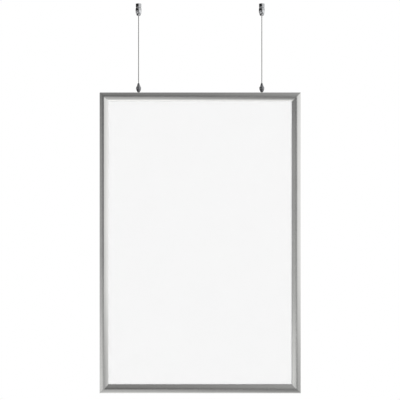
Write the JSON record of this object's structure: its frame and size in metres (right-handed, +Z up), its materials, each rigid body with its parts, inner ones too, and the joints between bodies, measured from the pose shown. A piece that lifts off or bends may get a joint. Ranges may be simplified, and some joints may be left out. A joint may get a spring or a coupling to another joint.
{
  "type": "poster frame",
  "caption": "Double-sided snap poster frame with mitred aluminium rails that hinge open, hung from ceiling fittings on two steel cables with grippers.",
  "frame": {"origin": "on the ceiling plane, midway between the two ceiling fittings", "axes": "+Z up along the cables, front of the frame faces -Y, X along the frame's width"},
  "size_m": [0.718, 0.027, 1.3911],
  "materials": {
    "anodised_aluminium": "satin silver anodised extrusion, with fine lines along its length",
    "chromed_brass": "polished chrome plating on turned brass",
    "stainless_steel": "bright stainless steel: stranded cable, balls, springs and set screws",
    "zinc_casting": "plain die-cast zinc",
    "foamed_pvc_board": "white foamed PVC board, matt",
    "blank_poster_paper": "blank white poster paper, matt",
    "clear_anti_glare_sheet": "clear PET sheet with an anti-glare face"
  },
  "bodies": {
    "ceiling_fittings": {"ceiling_base_left": "chromed_brass", "ceiling_base_right": "chromed_brass", "ceiling_barrel_left": "chromed_brass", "ceiling_barrel_right": "chromed_brass"},
    "suspension": {"cable_stop_left": "stainless_steel", "cable_stop_right": "stainless_steel", "cable_left": "stainless_steel", "cable_right": "stainless_steel", "gripper_body_left": "chromed_brass", "gripper_body_right": "chromed_brass", "nipple_spring_left": "stainless_steel", "nipple_spring_right": "stainless_steel", "ball_stud_left": "stainless_steel", "ball_stud_right": "stainless_steel"},
    "release_nipple_left": {"release_nipple_left": "chromed_brass"},
    "release_nipple_right": {"release_nipple_right": "chromed_brass"},
    "frame": {"base_rail_top": "anodised_aluminium", "base_rail_bottom": "anodised_aluminium", "base_rail_left": "anodised_aluminium", "base_rail_right": "anodised_aluminium", "corner_key_top_left": "zinc_casting", "corner_key_top_right": "zinc_casting", "corner_key_bottom_left": "zinc_casting", "corner_key_bottom_right": "zinc_casting", "key_screw_top_left_across": "stainless_steel", "key_screw_top_left_upright": "stainless_steel", "key_screw_top_right_across": "stainless_steel", "key_screw_top_right_upright": "stainless_steel", "key_screw_bottom_left_across": "stainless_steel", "key_screw_bottom_left_upright": "stainless_steel", "key_screw_bottom_right_across": "stainless_steel", "key_screw_bottom_right_upright": "stainless_steel", "centre_panel": "foamed_pvc_board", "poster_front": "blank_poster_paper", "poster_back": "blank_poster_paper", "cover_sheet_front": "clear_anti_glare_sheet", "cover_sheet_back": "clear_anti_glare_sheet", "leaf_spring_front_top": "stainless_steel", "leaf_spring_front_bottom": "stainless_steel", "leaf_spring_front_left_upper": "stainless_steel", "leaf_spring_front_left_lower": "stainless_steel", "leaf_spring_front_right_upper": "stainless_steel", "leaf_spring_front_right_lower": "stainless_steel", "leaf_spring_back_top": "stainless_steel", "leaf_spring_back_bottom": "stainless_steel", "leaf_spring_back_left_upper": "stainless_steel", "leaf_spring_back_left_lower": "stainless_steel", "leaf_spring_back_right_upper": "stainless_steel", "leaf_spring_back_right_lower": "stainless_steel", "hanger_block_left": "zinc_casting", "hanger_block_right": "zinc_casting"},
    "snap_rail_front_top": {"snap_rail_front_top": "anodised_aluminium"},
    "snap_rail_front_bottom": {"snap_rail_front_bottom": "anodised_aluminium"},
    "snap_rail_front_left": {"snap_rail_front_left": "anodised_aluminium"},
    "snap_rail_front_right": {"snap_rail_front_right": "anodised_aluminium"},
    "snap_rail_back_top": {"snap_rail_back_top": "anodised_aluminium"},
    "snap_rail_back_bottom": {"snap_rail_back_bottom": "anodised_aluminium"},
    "snap_rail_back_left": {"snap_rail_back_left": "anodised_aluminium"},
    "snap_rail_back_right": {"snap_rail_back_right": "anodised_aluminium"}
  },
  "joints": [
    {"name": "swing", "type": "hinge", "parent": "ceiling_fittings", "child": "suspension", "pos_m": [0, 0, -0.03802], "axis": [1, 0, 0], "range_deg": [-20, 20]},
    {"name": "tilt", "type": "hinge", "parent": "suspension", "child": "frame", "pos_m": [0, 0, -0.32322], "axis": [1, 0, 0], "range_deg": [-15, 15]},
    {"name": "release_left", "type": "slide", "parent": "suspension", "child": "release_nipple_left", "axis": [0, 0, -1], "range_m": [0, 0.0025], "stiffness_N_per_m": 800, "springref_m": -0.002, "deforming": ["nipple_spring_left"]},
    {"name": "release_right", "type": "slide", "parent": "suspension", "child": "release_nipple_right", "axis": [0, 0, -1], "range_m": [0, 0.0025], "stiffness_N_per_m": 800, "springref_m": -0.002, "deforming": ["nipple_spring_right"]},
    {"name": "open_front_top", "type": "hinge", "parent": "frame", "child": "snap_rail_front_top", "pos_m": [0, -0.0086, -0.32047], "axis": [-1, 0, 0], "range_deg": [0, 90]},
    {"name": "open_front_bottom", "type": "hinge", "parent": "frame", "child": "snap_rail_front_bottom", "pos_m": [0, -0.0086, -1.38807], "axis": [1, 0, 0], "range_deg": [0, 90]},
    {"name": "open_front_left", "type": "hinge", "parent": "frame", "child": "snap_rail_front_left", "pos_m": [-0.356, -0.0086, -0.85427], "axis": [0, 0, -1], "range_deg": [0, 90]},
    {"name": "open_front_right", "type": "hinge", "parent": "frame", "child": "snap_rail_front_right", "pos_m": [0.356, -0.0086, -0.85427], "axis": [0, 0, 1], "range_deg": [0, 90]},
    {"name": "open_back_top", "type": "hinge", "parent": "frame", "child": "snap_rail_back_top", "pos_m": [0, 0.0086, -0.32047], "axis": [1, 0, 0], "range_deg": [0, 90]},
    {"name": "open_back_bottom", "type": "hinge", "parent": "frame", "child": "snap_rail_back_bottom", "pos_m": [0, 0.0086, -1.38807], "axis": [-1, 0, 0], "range_deg": [0, 90]},
    {"name": "open_back_left", "type": "hinge", "parent": "frame", "child": "snap_rail_back_left", "pos_m": [-0.356, 0.0086, -0.85427], "axis": [0, 0, 1], "range_deg": [0, 90]},
    {"name": "open_back_right", "type": "hinge", "parent": "frame", "child": "snap_rail_back_right", "pos_m": [0.356, 0.0086, -0.85427], "axis": [0, 0, -1], "range_deg": [0, 90]}
  ]
}
